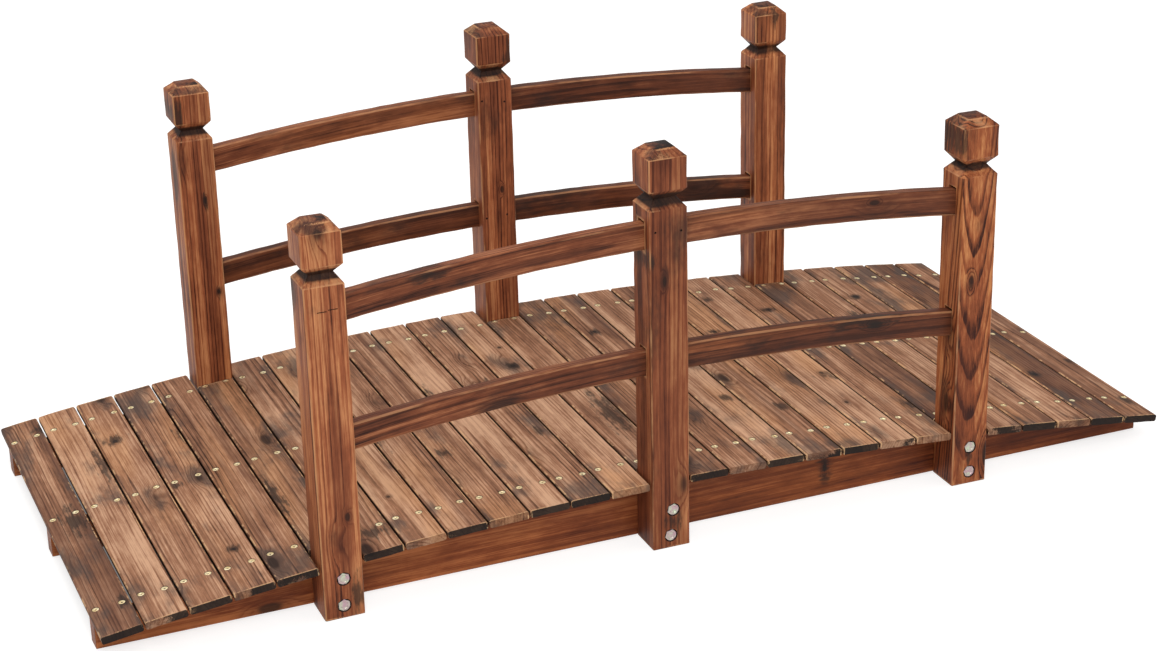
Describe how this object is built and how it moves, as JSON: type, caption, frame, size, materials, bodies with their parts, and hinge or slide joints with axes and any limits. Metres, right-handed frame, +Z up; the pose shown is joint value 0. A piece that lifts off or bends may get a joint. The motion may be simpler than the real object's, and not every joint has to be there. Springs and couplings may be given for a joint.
{
  "type": "wooden moon bridge",
  "caption": "Low arched wooden footbridge for a garden or pond edge: cross planks on bowed stringers, with a post and double rail balustrade on each side.",
  "frame": {"origin": "on the ground under the middle of the bridge, at the centre of its length and width", "axes": "+X along the bridge from the left end to the right end, +Y across it from the near balustrade to the far one, +Z up"},
  "size_m": [1.4914, 0.658, 0.543],
  "materials": {
    "deck_wood": "scorched and brushed fir, matt, grey-brown with light worn edges",
    "post_wood": "scorched fir stained red-brown, matt with a faint sheen",
    "rail_wood": "scorched fir stained dark red-brown, grain along the bow",
    "stringer_wood": "fir stained red-brown, planed smooth",
    "screw_metal": "yellow passivated zinc, satin",
    "bolt_metal": "zinc plated hexagon heads with a yellow tint"
  },
  "bodies": {
    "root": {"plank_01": "deck_wood", "plank_02": "deck_wood", "plank_03": "deck_wood", "plank_04": "deck_wood", "plank_05": "deck_wood", "plank_06": "deck_wood", "plank_07": "deck_wood", "plank_08": "deck_wood", "plank_09": "deck_wood", "plank_10": "deck_wood", "plank_11": "deck_wood", "plank_12": "deck_wood", "plank_13": "deck_wood", "plank_14": "deck_wood", "plank_15": "deck_wood", "plank_16": "deck_wood", "plank_17": "deck_wood", "plank_18": "deck_wood", "plank_19": "deck_wood", "plank_20": "deck_wood", "plank_21": "deck_wood", "plank_22": "deck_wood", "plank_23": "deck_wood", "plank_24": "deck_wood", "plank_25": "deck_wood", "plank_26": "deck_wood", "plank_27": "deck_wood", "stringer_near": "stringer_wood", "stringer_middle": "stringer_wood", "stringer_far": "stringer_wood", "post_near_left": "post_wood", "post_near_middle": "post_wood", "post_near_right": "post_wood", "post_far_left": "post_wood", "post_far_middle": "post_wood", "post_far_right": "post_wood", "rail_near_left_lower": "rail_wood", "rail_near_left_upper": "rail_wood", "rail_near_right_lower": "rail_wood", "rail_near_right_upper": "rail_wood", "rail_far_left_lower": "rail_wood", "rail_far_left_upper": "rail_wood", "rail_far_right_lower": "rail_wood", "rail_far_right_upper": "rail_wood"}
  },
  "joints": []
}
